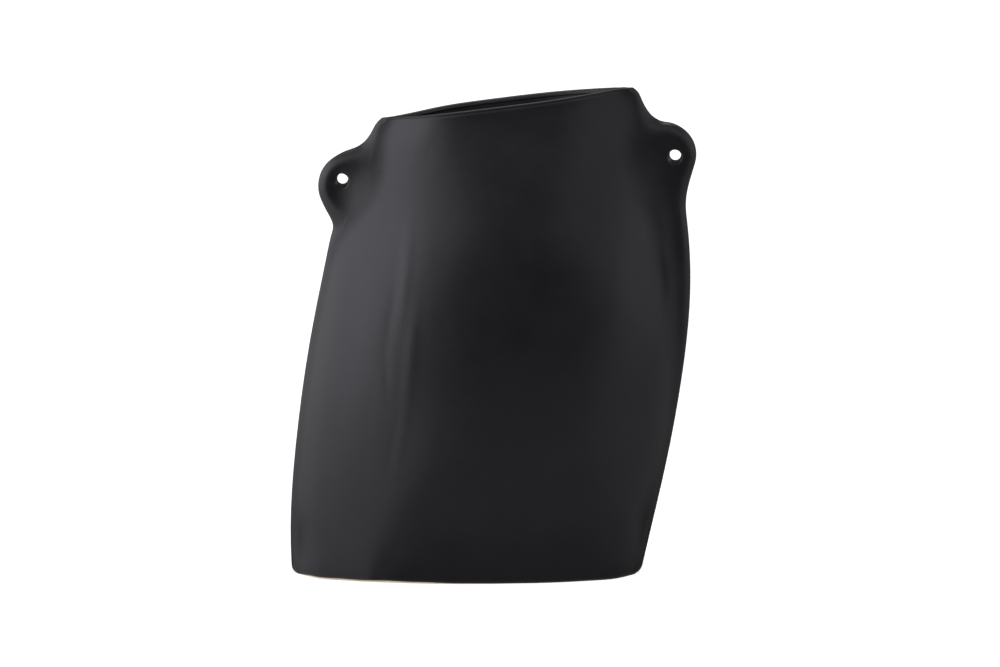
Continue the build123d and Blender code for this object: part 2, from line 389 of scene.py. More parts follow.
ROW_CLIMB = (80 * MM, 240 * MM)         # over these heights the rows turn to the slope of the rim
CARRIED = (0.9, 1.5)                    # in flange widths, from the parabola to the read swell
INSET_ROUNDS = 3

# %% Follow the edge of the body
edge_heights = np.arange(EDGE_LEVELS) * MM
body_edges = {}
for name in SIDES:
    first, last = marks[name]
    line = np.vstack([outlines[name][:first + 1], outlines[name][last:]])
    plain = np.interp(edge_heights, line[:, 1], line[:, 0])
    taps = np.exp(-0.5 * (np.arange(-TURN_TAPS, TURN_TAPS + 1) * MM / EAR_TURN) ** 2)
    padded = np.pad(plain, TURN_TAPS, mode="reflect", reflect_type="odd")
    soft = np.convolve(padded, taps / taps.sum(), mode="valid")
    body_edges[name] = mix(plain, soft, eased_step(edge_heights, *SOFT_FROM))

# %% Sizes that change along the edge
def at_shoulder(pair, z, span):
    """A size that changes from its value on the flank to its value on the neck."""
    return mix(*pair, eased_step(z, *span))


def pinched(x, z):
    """1 where the right seam was pinched between finger and thumb, 0 elsewhere."""
    along = eased_step(z, *PINCH_RISE) * (1 - eased_step(z, *PINCH_FALL))
    return along * eased_step(x, *PINCH_SIDE)


def row_tilt(z):
    """The rows of the body lie level at the foot and climb with the rim at the top."""
    return rim_slope * eased_step(z, *ROW_CLIMB)


# %% Carry the swell on to the edge of the body
def body_inset(name, x, z):
    """How far each point lies inside the edge of the body, along its row."""
    edge = np.interp(z, edge_heights, body_edges[name])
    for _ in range(INSET_ROUNDS):
        edge = np.interp(z + (edge - x) * row_tilt(z), edge_heights, body_edges[name])
    return SIDES[name] * (edge - x)


def carried_swell(name, x, z, inset, stretched):
    """The swell at an inset from one edge; beside the flange it is carried on from further in."""
    side = SIDES[name]

    def inside(distance):
        step = -side * (distance - inset)
        return field_at(soft_swell, x + step, z + step * row_tilt(z))

    flange = at_shoulder(FLANGE, z, SHOULDER)
    t = stretched / flange
    curve = inside(flange) * (t - 2) * (t - 3) / 2
    curve -= inside(2 * flange) * (t - 1) * (t - 3)
    curve += inside(3 * flange) * (t - 1) * (t - 2) / 2
    return mix(curve, inside(stretched), eased_step(t, *CARRIED))


# %% Slide the carried swell so that it meets the seam plane at the edge
SCAN = np.linspace(-4, 12, 161) * MM    # slides that are tried
SLACK_LEVELS = np.arange(2, 250, 2) * MM
SLACK_TAPS = 8                          # levels to each side over which the slides are evened out
STRETCH_MOST = 1.2                      # outside the edge the slide grows by no more than this
slack = {}
for name in SIDES:
    heights = SLACK_LEVELS[SLACK_LEVELS < joints[name]["corner"][1] - OUTLINE_STEP]
    found = []
    for height in heights:
        edge = np.interp(height, edge_heights, body_edges[name])
        start = np.full(len(SCAN), edge)
        level = np.full(len(SCAN), height)
        above = carried_swell(name, start, level, np.zeros(len(SCAN)), SCAN) > 0
        found.append(SCAN[above.argmax()] if above.any() else 0.0)
    taps = np.exp(-0.5 * (np.arange(-SLACK_TAPS, SLACK_TAPS + 1) / (SLACK_TAPS / 2)) ** 2)
    padded = np.pad(found, SLACK_TAPS, mode="edge")
    found = np.convolve(padded, taps / taps.sum(), mode="valid")
    slack[name] = (heights, found)
    print(name, "slack of the carried swell in mm:", np.round(found[::12] / MM, 1).tolist())

# %% Add the last roundness
def body_swell(points):
    """How far the body alone stands out, without ears, flange or rounded edge."""
    x, z = points.T
    insets = {name: body_inset(name, x, z) for name in SIDES}
    result = np.zeros(len(points))
    for name in SIDES:
        mine = insets[name] <= np.minimum(insets["left"], insets["right"])
        inset = insets[name][mine]
        loose = np.interp(z[mine], *slack[name])
        if name == "right":
            loose = loose - PINCH_WIDTH * pinched(x[mine], z[mine])
        stretched = inset + loose * np.clip(1 - inset / STRETCH_REACH, 0, STRETCH_MOST)
        result[mine] += carried_swell(name, x[mine], z[mine], inset, stretched)
        flank_full = at_shoulder((FLANK_FULL, 0), z, FLANK_SPAN)
        foot_full = at_shoulder((FOOT_FULL, 0), z, FOOT_SPAN)
        neck_full = at_shoulder((0, NECK_FULL[name]), z, NECK_SPAN)
        neck_reach = SIDES[name] * (np.interp(z, edge_heights, body_edges[name]) - NECK_CREST[name])
        fulls = ((flank_full, FLANK_REACH), (foot_full, FOOT_REACH), (neck_full, neck_reach))
        for fullness, reach in fulls:
            share = np.maximum(insets[name], 0) / reach
            result += fullness * share ** 2 * np.exp(1 - share ** 2)
    return result


probe = np.array([(0.0, 0.1), (-0.06, 0.12)])
probe_swell = np.round(body_swell(probe) / MM, 2)
print("body swell in mm at the belly and near the left edge:", probe_swell.tolist())

# %% [markdown]
# ## The edge plate and the hand in the clay
# Round the outside lies a thin plate with a rounded edge: thick in the ears, a pinched bead on the
# right shoulder, and hardly more than a soft edge elsewhere. Body and plate flow into each other
# like two lumps of clay pressed together. A slab-built wall is never quite even either, so long
# shallow strokes are added. All of this is shape, not bump, in tenths of a millimetre.

# %% Measure the distance to the outline
def edge_distance(points):
    """The distance from each point to the outline, negative outside it."""
    best = np.full(len(points), np.inf)
    signed = np.zeros(len(points))
    for name, side in SIDES.items():
        line = outlines[name]
        for start, end in zip(line, line[1:]):
            along = end - start
            offset = points - start
            share = np.clip(offset @ along / (along @ along), 0, 1)
            away = offset - share[:, None] * along
            distance = np.hypot(away[:, 0], away[:, 1])
            inward = side * (along[0] * offset[:, 1] - along[1] * offset[:, 0])
            nearer = distance < best
            best[nearer] = distance[nearer]
            signed[nearer] = np.sign(inward[nearer])
    return best * signed


to_outline = edge_distance(holes["left"][None])[0]
print("distance to the outline at the left hole in mm:", round(to_outline / MM, 2))

# %% [markdown]
# The rim was cut with a wire, so it is one clean curve, but the two slabs did not stay level with
# each other: the back one stands a little higher in its middle, and the left end has sagged. A low
# curve fitted to the rays keeps the rim free of steps, and it bends down to meet the two corners.

# %% Shape the rim
RIM_CROWN = {FRONT: -0.1 * MM, BACK: 0.6 * MM}    # the middle of the rim stands over its ends
RIM_DROP = {FRONT: 0, BACK: 0.45 * MM}            # and it all sank below the cut
SAG_DEPTH = 0.45 * MM
SAG_PLACE = -27 * MM
SAG_REACH = 14 * MM
CORNER_REACH = 4 * MM                   # over which the rim bends to a corner
RIM_DEGREE = 3
RIM_CLEAR = 4 * MM                      # rays keep this far from the rounded corners
rim_left, rim_right = [joints[name]["corner"] for name in SIDES]
rim_x = np.arange(rim_left[0] + RIM_CLEAR, rim_right[0] - RIM_CLEAR, RIM_STEP)
rim_z = np.array([rim_height(x) for x in rim_x])
rim_curve = np.polyfit(rim_x, rim_z, RIM_DEGREE)
rim_miss = np.abs(np.polyval(rim_curve, rim_x) - rim_z).max()
print("the rim curve misses the rays by at most", round(rim_miss / MM, 3), "mm")


def rim_line(x, face):
    """The top of the rim along the mouth, on one face."""
    share = np.clip((x - rim_left[0]) / (rim_right[0] - rim_left[0]), 0, 1)
    height = np.polyval(rim_curve, x) + RIM_CROWN[face] * 4 * share * (1 - share) - RIM_DROP[face]
    height = height - SAG_DEPTH * np.exp(-(((x - SAG_PLACE) / SAG_REACH) ** 2))
    for corner in (rim_left, rim_right):
        near = np.exp(-(((x - corner[0]) / CORNER_REACH) ** 2))
        height = height + near * (corner[1] - np.polyval(rim_curve, corner[0]) + RIM_DROP[face])
    return height


# %% [markdown]
# An ear is dished round its hole, a low bead runs along its edge and along the pinched seam, and
# the foot ends in a thick corner. The strokes on the front are those that the light catches in the
# photograph: a few long, leaning smears of the hand left of the middle.

# %% Dents, beads and hollows
EAR_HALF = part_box("left_ear")[1].y      # half the thickness of an ear
SOFT_EDGE = 1.3 * MM                    # half the thickness of the plain edge
PINCH_HALF = 3.0 * MM
EAR_REACH = (13 * MM, 32 * MM)          # from a hole, where the ear's thickness runs out
SOFT_REACH = (14 * MM, 46 * MM)         # and where its soft joint runs out
ROUNDNESS = (1.15, 1.9)                 # rounding per half thickness, plain and in an ear
BLEND = {"edge": 2.8 * MM, "ear": 8.0 * MM}      # how softly body and plate flow together
DISH_DEPTH = {"left": 0.9 * MM, "right": 0.5 * MM}
DISH_REACH = 8.0 * MM
BEAD_PLACE = 3.6 * MM                   # from the outline in to the crest of the bead
BEAD_REACH = 2.6 * MM
EAR_BEAD = 0.2 * MM
PINCH_BEAD = 0.15 * MM
TILT_REACH = 13 * MM                    # the pinched clay thickens towards the body
PINCH_TILT = 0.14
PINCH_SOFTNESS = 0.6                    # and flows into it almost as softly as an ear
FOOT_EDGE = 1.6 * MM                    # the three slabs leave a thick corner at the foot
FOOT_ROUNDNESS = 0.6                    # and it is turned more sharply
GROOVE_PLACE = 1.3 * MM                 # a finger run along under the lip left a shallow groove
GROOVE_REACH = 0.65 * MM
GROOVE_DEPTH = 0.25 * MM
GROOVE_FADE = (2 * MM, 6 * MM)          # it runs out where the two slabs meet
MARKS_FADE = (4 * MM, 16 * MM)          # the strokes keep clear of the edge
WAVE_HEIGHT = 0.16                      # slow waves of the slab, in mm, and their lengths
WAVE_LENGTHS = (17, 41, 23, 37)
# Long strokes of the hand: middle X and Z, half width, half length and height in mm, and lean
STROKES = {
    FRONT: [
        (-30, 158, 3.0, 24, 0.28, 0.09),
        (-37, 137, 2.0, 24, -0.2, 0.17),
        (-27, 120, 3.2, 26, 0.26, 0.08),
        (-39, 108, 1.7, 10, -0.2, 0.0),
        (-36, 75, 1.9, 16, -0.24, 0.22),
        (-32, 84, 3.2, 22, 0.2, 0.15),
        (-48, 150, 9.0, 40, 0.25, 0.0),
        (-60, 110, 10.0, 40, -0.25, 0.0),
        (-24, 174, 11.0, 24, 0.3, 0.0),
    ],
    BACK: [
        (30, 140, 6.0, 34, 0.25, 0.1),
        (-20, 110, 8.0, 40, -0.25, 0.0),
        (60, 90, 9.0, 36, 0.2, -0.1),
    ],
}

# %% Strokes and waves of a slab
def hand_marks(points, face):
    """The strokes and slow waves of one slab, in metres."""
    x, z = points.T / MM
    first, second, third, fourth = WAVE_LENGTHS
    waves = np.sin(x / first + z / second + face) * np.sin(z / third - x / fourth + 2 * face)
    marks_here = WAVE_HEIGHT * waves
    for middle_x, middle_z, half_width, half_length, height, lean in STROKES[face]:
        across = x - middle_x - lean * (z - middle_z)
        stroke = (across / half_width) ** 2 + ((z - middle_z) / half_length) ** 2
        marks_here = marks_here + height * np.exp(-stroke)
    return marks_here * MM


# %% The whole field: how far the finished clay stands out
def stand_out(points, face):
    """How far the finished clay stands out from the seam plane, on one face."""
    edge = np.maximum(edge_distance(points), 0)
    bead = np.exp(-(((edge - BEAD_PLACE) / BEAD_REACH) ** 2))
    tilt = np.minimum(edge, TILT_REACH)
    pinch = pinched(*points.T)
    half = SOFT_EDGE + at_shoulder((FOOT_EDGE, 0), points[:, 1], FOOT_SPAN)
    hardness = 1 - PINCH_SOFTNESS * pinch
    roundness = ROUNDNESS[0] * at_shoulder((FOOT_ROUNDNESS, 1), points[:, 1], FOOT_SPAN)
    for name in SIDES:
        reach = np.hypot(*(points - holes[name]).T)
        in_ear = 1 - eased_step(reach, *EAR_REACH)
        half = half + (EAR_HALF - SOFT_EDGE + EAR_BEAD * bead) * in_ear
        half = half - DISH_DEPTH[name] * np.exp(-((reach / DISH_REACH) ** 2))
        pinch = pinch * (1 - in_ear)
        hardness = hardness * eased_step(reach, *SOFT_REACH)
        roundness = roundness + (ROUNDNESS[1] - ROUNDNESS[0]) * in_ear
    half = half + (PINCH_HALF - SOFT_EDGE + PINCH_BEAD * bead + PINCH_TILT * tilt) * pinch
    body = body_swell(points) + hand_marks(points, face) * eased_step(edge, *MARKS_FADE)
    blend = mix(BLEND["ear"], BLEND["edge"], hardness)
    fillet = np.maximum(blend - np.abs(body - half), 0) ** 2 / (4 * blend)
    share = np.clip(edge / (roundness * (half + fillet)), 0, 1)
    rounding = np.sqrt(1 - (1 - share) ** 2)
    below = (rim_line(points[:, 0], face) - points[:, 1] - GROOVE_PLACE) / GROOVE_REACH
    groove = GROOVE_DEPTH * np.exp(-(below ** 2)) * eased_step(body, *GROOVE_FADE)
    groove = groove * (points[:, 0] > rim_left[0])
    return np.where(edge > 0, (np.maximum(body, half) + fillet) * rounding - groove, 0)


print("front stands out in mm:", np.round(stand_out(probe, FRONT) / MM, 2).tolist())

# %% [markdown]
# The lip was rounded with a wet finger and runs out to nothing at the two corners of the rim. The
# glaze was wiped off the foot by hand, so its lower edge wavers: on the front it ends higher at
# the left, comes almost down to the table at the right, and runs low at both ends of the foot.

# %% Shape the lip and the glaze line
LIP_HEIGHT = {FRONT: 0.6 * MM, BACK: 0.8 * MM}
LIP_FADE = (0, 4 * MM)
GLAZE_LINE = {FRONT: (1.25 * MM, 0.12 * MM), BACK: (1.1 * MM, 0.8 * MM)}  # at the left and the right
GLAZE_FALL = (-45 * MM, 36 * MM)        # between these places it falls from left to right
GLAZE_LOWEST = 0.1 * MM
GLAZE_AT_SEAM = 0.25 * MM               # the most that it keeps at the two ends of the foot
SEAM_FADE = (2 * MM, 11 * MM)
LONG_WAVE = (0.12 * MM, 9 * MM)         # height and length of the two waves in it
SHORT_WAVE = (0.08 * MM, 3.7 * MM)
CALMED = 0.8                            # how much calmer the right end is


def lip_height(points, face):
    """How high the lip is rounded; it runs out to nothing at the corners of the rim."""
    return LIP_HEIGHT[face] * eased_step(stand_out(points, face), *LIP_FADE)


def glaze_line(x, face):
    """How high above the table the glaze ends."""
    left, right = GLAZE_LINE[face]
    long_wave = LONG_WAVE[0] * np.sin(x / LONG_WAVE[1] + face)
    short_wave = SHORT_WAVE[0] * np.sin(x / SHORT_WAVE[1])
    fade = eased_step(x, *GLAZE_FALL)
    waves = (long_wave + short_wave) * (1 - CALMED * fade)
    line = np.maximum(mix(left, right, fade) + waves, GLAZE_LOWEST)
    ends = [flank_point(name, FLOOR_TOP)[0] for name in SIDES]
    inset = np.minimum(x - ends[0], ends[1] - x)
    return mix(np.minimum(line, GLAZE_AT_SEAM), line, eased_step(inset, *SEAM_FADE))


# %% [markdown]
# ## Rows and columns of the walls
# Front and back wall share one net of rows and columns in the seam plane. Below the ears a row
# runs from outline to outline, beside the ears it runs from joint to joint, and above them from
# outline to outline again. The columns crowd towards the outline, where the clay turns away.

# %% Rows across the body
EDGE_COLUMNS = 10
MIDDLE_COLUMNS = 124
SKIRT_ROWS = 6
SKIRT_CROWDING = 1.5
BODY_ROWS = 116
EAR_ROWS = 28
NECK_ROWS = 14
SPLIT_ROWS = 3                          # topmost rows of the neck, split to hold the groove
GROOVE_ROWS = 9
STRIP = 6 * MM                          # width of the crowded strip along the outline
edge_shares = (np.arange(EDGE_COLUMNS + 1) / EDGE_COLUMNS) ** 2
middle_shares = np.arange(MIDDLE_COLUMNS + 1) / MIDDLE_COLUMNS


def net_row(left_edge, left_strip, right_strip, right_edge):
    """One row of the net, from the left outline to the right one."""
    left = mix(left_edge, left_strip, edge_shares[:-1, None])
    middle = mix(left_strip, right_strip, middle_shares[:, None])
    right = mix(right_edge, right_strip, edge_shares[:-1, None])
    return np.vstack([left, middle, right[::-1]])


def level_row(heights, share):
    """A row across the body: its end heights, and how far it is from the floor to the notches."""
    edges = [flank_point(name, height) for name, height in zip(SIDES, heights)]
    strips = []
    for (name, side), edge in zip(SIDES.items(), edges):
        at_floor = np.array((-side * STRIP, 0))
        at_notch = joints[name]["low"] - joints[name]["notch"]
        strips.append(edge + mix(at_floor, at_notch, share))
    return net_row(edges[0], strips[0], strips[1], edges[1])


# %% Rows of the neck
def neck_rows(face):
    """The rows from the collar up to the rim."""
    left, right = [joints[name] for name in SIDES]
    lows = net_row(left["collar"], left["high"], right["high"], right["collar"])
    strips = [joints[name]["corner"] - side * STRIP * rim_along for name, side in SIDES.items()]
    tops = net_row(left["corner"], strips[0], strips[1], right["corner"])
    tops[1:-1, 1] = rim_line(tops[1:-1, 0], face) - lip_height(tops[1:-1], face)
    ends = {"left": slice(0, EDGE_COLUMNS + 1), "right": slice(-1, -EDGE_COLUMNS - 2, -1)}
    plain_rows = NECK_ROWS - SPLIT_ROWS
    split = np.linspace(plain_rows / NECK_ROWS, 1, SPLIT_ROWS * GROOVE_ROWS)
    for share in np.append(np.arange(plain_rows) / NECK_ROWS, split):
        row = mix(lows, tops, share)
        if 0 < share < 1:
            for name, reach in ends.items():
                height = mix(joints[name]["collar"][1], joints[name]["corner"][1], share)
                row[reach] += (neck_point(name, height) - row[reach][0]) * (1 - edge_shares[:, None])
        yield row


# %% The whole net of a wall
def wall_net(face):
    """All rows of one wall, and which of their points exist."""
    rows = []
    foot_ends = [glaze_line(flank_point(name, GLAZE_AT_SEAM)[0], face) for name in SIDES]
    for share in (np.arange(SKIRT_ROWS) / SKIRT_ROWS) ** SKIRT_CROWDING:
        row = level_row([mix(end, FLOOR_TOP, share) for end in foot_ends], 0)
        row[1:-1, 1] = mix(glaze_line(row[1:-1, 0], face), FLOOR_TOP, share)
        rows.append(row)
    notches, lows, highs = [[joints[name][key] for name in SIDES] for key in ("notch", "low", "high")]
    for share in np.arange(BODY_ROWS) / BODY_ROWS:
        rows.append(level_row([mix(FLOOR_TOP, notch[1], share) for notch in notches], share))
    rows.append(net_row(notches[0], lows[0], lows[1], notches[1]))
    first_ear = len(rows)
    for share in np.arange(1, EAR_ROWS) / EAR_ROWS:
        left, right = [mix(low, high, share) for low, high in zip(lows, highs)]
        rows.append(net_row(left, left, right, right))
    first_neck = len(rows)
    rows += neck_rows(face)
    net = np.array(rows)
    there = np.ones(net.shape[:2], bool)
    there[first_ear:first_neck, :EDGE_COLUMNS] = False
    there[first_ear:first_neck, -EDGE_COLUMNS:] = False
    return net, there, first_ear, first_neck


front_net, _, first_ear_row, first_neck_row = wall_net(FRONT)
print("rows and columns of the front wall:", front_net.shape[:2])

# %% [markdown]
# ## From net to clay
# A wall is the net lifted twice: once to the outside and once, by the thickness of the slab, to
# the inside. Near the seam the inside would cross the seam plane, so there the wall is solid and
# ends flat where the other slab meets it. A lip rounds over the rim, and every open border is
# closed, so each piece is a solid.

# %% Helpers that weld and close a piece
WELD = 0.0001 * MM                      # points that near each other are one


class Piece:
    """Points and faces of one piece; each face is glazed skin or a hidden joint."""

    def __init__(self):
        self.points = []
        self.faces = []
        self.skin = []
        self.count = 0

    def add_points(self, points):
        """Adds points and returns their numbers in the same layout."""
        flat = np.asarray(points).reshape(-1, 3)
        self.points.append(flat)
        numbers = np.arange(self.count, self.count + len(flat))
        self.count += len(flat)
        return numbers.reshape(np.asarray(points).shape[:-1])

    def add_faces(self, quads, skin):
        self.faces.append(np.asarray(quads).reshape(-1, 4))
        self.skin.append(np.broadcast_to(skin, len(self.faces[-1])))

    def welded(self):
        """Points and faces with equal points made one and empty faces dropped."""
        points = np.vstack(self.points)
        keys = np.round(points / WELD).astype(np.int64)
        _, first, number = np.unique(keys, axis=0, return_index=True, return_inverse=True)
        faces = []
        skin = []
        for face, is_skin in zip(number.reshape(-1)[np.vstack(self.faces)], np.concatenate(self.skin)):
            corners = [corner for k, corner in enumerate(face) if corner != face[k - 1]]
            if len(set(corners)) > 2:
                faces.append(corners)
                skin.append(is_skin)
        used = np.unique(np.concatenate(faces))
        place = np.zeros(len(first), int)
        place[used] = np.arange(len(used))
        return points[first[used]], [place[face].tolist() for face in faces], np.array(skin)


# %% Helpers for nets
def net_quads(numbers):
    """The quads of a net of numbered points."""
    return np.stack([numbers[:-1, :-1], numbers[:-1, 1:], numbers[1:, 1:], numbers[1:, :-1]], axis=-1)


def all_four(flags):
    """True where all four corners of a quad are flagged."""
    return flags[:-1, :-1] & flags[:-1, 1:] & flags[1:, 1:] & flags[1:, :-1]


def border_edges(quads):
    """The edges that only one of the quads has."""
    edges = np.vstack([quads[:, [k, (k + 1) % 4]] for k in range(4)])
    _, first, counts = np.unique(np.sort(edges, axis=1), axis=0, return_index=True, return_counts=True)
    return edges[first[counts == 1]]


def lifted(points, height, face):
    """Points of the seam plane, lifted out of it on one face."""
    depth = np.broadcast_to(face * height, points.shape[:-1])
    return np.stack([points[..., 0], depth, points[..., 1]], axis=-1)


# %% [markdown]
# The slab is as thick as two rays find it at the belly. It was thinned towards the rim, and over
# the edge of the floor slab only a film of glaze hangs down. The lip is a half circle swept over
# the rim, and it closes to a quarter circle where the two slabs meet.

# %% Lift the net into a front and a back wall
SKIRT = 0.5 * MM                        # the glaze over the edge of the floor slab
LIP_STEPS = 10
STEEPEST = 0.12                         # no slope counts as steeper for the thickness
RIM_SHARE = 0.45                        # the slab was thinned towards the rim
RIM_THINNED = 12 * MM
SLOPE_STEP = 0.4 * MM
MOUTH_OPENS = (0, 2 * MM)               # inside depth over which the lip turns into a half circle
BELLY = 120 * MM
outer_hit = neck_tree.ray_cast(Vector((0, -AWAY, BELLY)), Vector((0, 1, 0)))[0]
inner_hit = neck_tree.ray_cast(outer_hit + Vector((0, NUDGE, 0)), Vector((0, 1, 0)))[0]
SLAB = inner_hit.y - outer_hit.y
print("slab thickness in mm:", round(SLAB / MM, 2))


def facing(points, face):
    """The share of each normal that points straight out of the seam plane."""
    steps = np.array(((SLOPE_STEP, 0), (0, SLOPE_STEP)))
    slopes = [stand_out(points + step, face) - stand_out(points - step, face) for step in steps]
    return 1 / np.sqrt(1 + sum((slope / (2 * SLOPE_STEP)) ** 2 for slope in slopes))


def make_wall(face):
    """One wall as a closed piece."""
    net, there, _, _ = wall_net(face)
    flat = net.reshape(-1, 2)
    out = stand_out(flat, face).reshape(there.shape)
    out[there[:, 0], 0] = 0
    out[there[:, -1], -1] = 0
    turn = np.maximum(facing(flat, face).reshape(there.shape), STEEPEST)
    thickness = np.full(there.shape, SLAB)
    thickness[:SKIRT_ROWS] = SKIRT
    below = rim_line(flat[:, 0], face) - flat[:, 1]
    thinned = np.clip(1 - below / RIM_THINNED, 0, 1) ** 2
    thickness *= mix(1, RIM_SHARE, thinned).reshape(there.shape)
    inside = np.maximum(out - thickness / turn, 0)
    wall = Piece()
    outer = wall.add_points(lifted(net, out, face))
    outer_quads = net_quads(outer)[all_four(there)]
    wall.add_faces(outer_quads, True)
    open_mouth = eased_step(inside[-1], *MOUTH_OPENS)
    middle = open_mouth * (out[-1] + inside[-1]) / 2
    lift = rim_line(net[-1, :, 0], face) - net[-1, :, 1]
    lift[[0, -1]] = 0
    lip_rows = [outer[-1]]
    for share in np.arange(1, LIP_STEPS + 1) / LIP_STEPS:
        angle = share * np.pi * (1 + open_mouth) / 2
        row = lifted(net[-1], middle + (out[-1] - middle) * np.cos(angle), face)
        row[:, 2] += lift * np.sin(angle)
        lip_rows.append(wall.add_points(row))
    wall.add_faces(net_quads(np.array(lip_rows)), True)
    inner = wall.add_points(lifted(net, inside, face))
    inner[-1] = lip_rows[-1]
    meets_other_wall = all_four(inside <= 0)[all_four(there)]
    wall.add_faces(net_quads(inner)[all_four(there)], ~meets_other_wall)
    partner = dict(zip(outer.reshape(-1).tolist(), inner.reshape(-1).tolist()))
    rim = set(outer[-1].tolist())
    sides = [edge for edge in border_edges(outer_quads).tolist() if not rim.issuperset(edge)]
    wall.add_faces([(a, b, partner[b], partner[a]) for a, b in sides], False)
    return wall


pieces = {"front_wall": make_wall(FRONT), "back_wall": make_wall(BACK)}
print("front wall points:", pieces["front_wall"].count)

# %% [markdown]
# ## The ears
# An ear is a small flat lug with a round hole. A net of rings round the hole suits it best: the
# rings start at the rounded mouth of the hole and swell out to the outline, and along the joint
# they end on the very points of the wall. The hole was opened from the front with a pointed tool,
# so it is wide there and narrows to a throat near the back; the right one went in a little askew.

# %% Make the ears
GLAZE_IN_HOLE = {"left": 0.55 * MM, "right": 0.4 * MM}
THROAT = 1.8 * MM                       # where the hole is narrowest, behind the seam plane
# Drift of the throat in X and Z
ASKEW = {"left": (0.3 * MM, 0.35 * MM), "right": (0.65 * MM, 0.3 * MM)}
# How much wider than its throat the hole is under its front and its back mouth
FLARE = {"left": (0.8 * MM, 0.2 * MM), "right": (0.55 * MM, 0.2 * MM)}
MOUTH_ROUND = {FRONT: 0.95 * MM, BACK: 0.9 * MM}
EAR_RINGS = 18
RING_CROWDING = 1.6
MOUTH_RINGS = 6
BORE_RINGS = 3


def ear_border(name):
    """The border of an ear: its outline, then back along the joint on the points of the wall."""
    columns = list(range(EDGE_COLUMNS + 1))
    if name == "right":
        columns = [-1 - column for column in columns]
    collar_side = front_net[first_neck_row][columns]
    joint_side = front_net[first_ear_row:first_neck_row, columns[-1]][::-1]
    notch_side = front_net[first_ear_row - 1][columns][::-1]
    first, last = marks[name]
    outline = outlines[name][first:last + 1]
    border = np.vstack([outline, collar_side[1:], joint_side, notch_side[:-1], outline[:1]])
    on_outline = np.arange(len(border)) < len(outline)
    on_outline[-1] = True
    return border, on_outline


def make_ear(name):
    """One ear as a closed piece, swept from its front outline through the hole to its back."""
    border, on_outline = ear_border(name)
    ear = Piece()
    radius = mounts[f"{name}_ear_hole"]["dims"]["r_mm"] * MM - GLAZE_IN_HOLE[name]
    arms = border - holes[name]
    spokes = arms / np.linalg.norm(arms, axis=1)[:, None]
    throat = lifted(holes[name] + np.array(ASKEW[name]) + spokes * radius, THROAT, BACK)
    sweep = {}
    for face in (FRONT, BACK):
        middle = holes[name] + (0 if face == FRONT else np.array(ASKEW[name]))
        bore = radius + FLARE[name][face == BACK]
        mouth = middle + spokes * (bore + MOUTH_ROUND[face])
        rings = []
        for share in np.arange(EAR_RINGS, -1, -1) / EAR_RINGS:
            ring = mix(mouth, border, 1 - (1 - share) ** RING_CROWDING)
            height = stand_out(ring, face)
            if share == 1:
                height[on_outline] = 0
            rings.append(lifted(ring, height, face))
        for angle in np.linspace(0, np.pi / 2, MOUTH_RINGS + 1)[1:]:
            ring = middle + spokes * (bore + MOUTH_ROUND[face] * (1 - math.sin(angle)))
            rings.append(lifted(ring, height - MOUTH_ROUND[face] * (1 - math.cos(angle)), face))
        rings += [mix(rings[-1], throat, share) for share in np.arange(1, BORE_RINGS) / BORE_RINGS]
        sweep[face] = ear.add_points(np.array(rings))
    middle_ring = ear.add_points(throat)
    ear.add_faces(net_quads(np.vstack([sweep[FRONT], middle_ring[None], sweep[BACK][::-1]])), True)
    ear.add_faces(net_quads(np.array([sweep[FRONT][0], sweep[BACK][0]])), False)
    return ear


for name in SIDES:
    pieces[f"{name}_ear"] = make_ear(name)
    print(name, "ear points:", pieces[f"{name}_ear"].count)

# %% [markdown]
# ## The floor slab
# The floor is a plain slab of clay. Glaze runs down over its edge and stops just above the table,
# where the foot was wiped clean, so only a thin cream line of it shows.

# %% Make the floor slab
SLAB_COLUMNS = 160
UNDER_ROWS = 12
FOOT_ROUND = 0.35 * MM
ROUND_ROWS = 5
SIDE_ROWS = 10
LOWEST_PROBE = 0.3 * MM                 # the swell is not read any nearer to the table
round_heights = FOOT_ROUND * np.linspace(0, 1, ROUND_ROWS) ** 2
side_heights = np.linspace(FOOT_ROUND, FLOOR_TOP, SIDE_ROWS)[1:]
slab_heights = np.concatenate([round_heights, side_heights])


def floor_loop(height):
    """The border of the floor slab at a height, just inside the glaze."""
    probe_height = max(height, LOWEST_PROBE)
    left, right = [flank_point(name, probe_height)[0] for name in SIDES]
    x = mix(left, right, (1 - np.cos(np.linspace(0, np.pi, SLAB_COLUMNS + 1))) / 2)
    level = np.stack([x, np.full_like(x, probe_height)], axis=-1)
    halves = []
    for face in (FRONT, BACK):
        out = stand_out(level, face)
        out[[0, -1]] = 0
        halves.append(np.stack([x, face * out], axis=-1))
    loop = np.vstack([halves[0], halves[1][-2:0:-1]])
    along = np.roll(loop, -1, axis=0) - np.roll(loop, 1, axis=0)
    outward = np.stack([along[:, 1], -along[:, 0]], axis=-1)
    outward /= np.linalg.norm(outward, axis=1)[:, None]
    sunk = 1 - min(height / FOOT_ROUND, 1)
    inset = SKIRT + FOOT_ROUND * (1 - math.sqrt(1 - sunk ** 2))
    return np.column_stack([loop - outward * inset, np.full(len(loop), height)])


def make_floor():
    """The floor slab as a closed piece."""
    slab = Piece()
    loops = np.array([floor_loop(height) for height in slab_heights])
    rings = slab.add_points(loops)
    slab.add_faces(net_quads(np.column_stack([rings, rings[:, :1]])), True)
    back_order = np.concatenate([[0], np.arange(loops.shape[1] - 1, SLAB_COLUMNS, -1), [SLAB_COLUMNS]])
    for level in (0, -1):
        front = loops[level][:SLAB_COLUMNS + 1]
        back = loops[level][back_order]
        rows = [mix(front, back, share) for share in np.arange(1, UNDER_ROWS) / UNDER_ROWS]
        between = slab.add_points(np.array(rows))
        sheet = np.vstack([rings[level][None, :SLAB_COLUMNS + 1], between, rings[level][back_order][None]])
        slab.add_faces(net_quads(sheet), False)
    return slab


pieces["floor_slab"] = make_floor()
print("floor slab points:", pieces["floor_slab"].count)
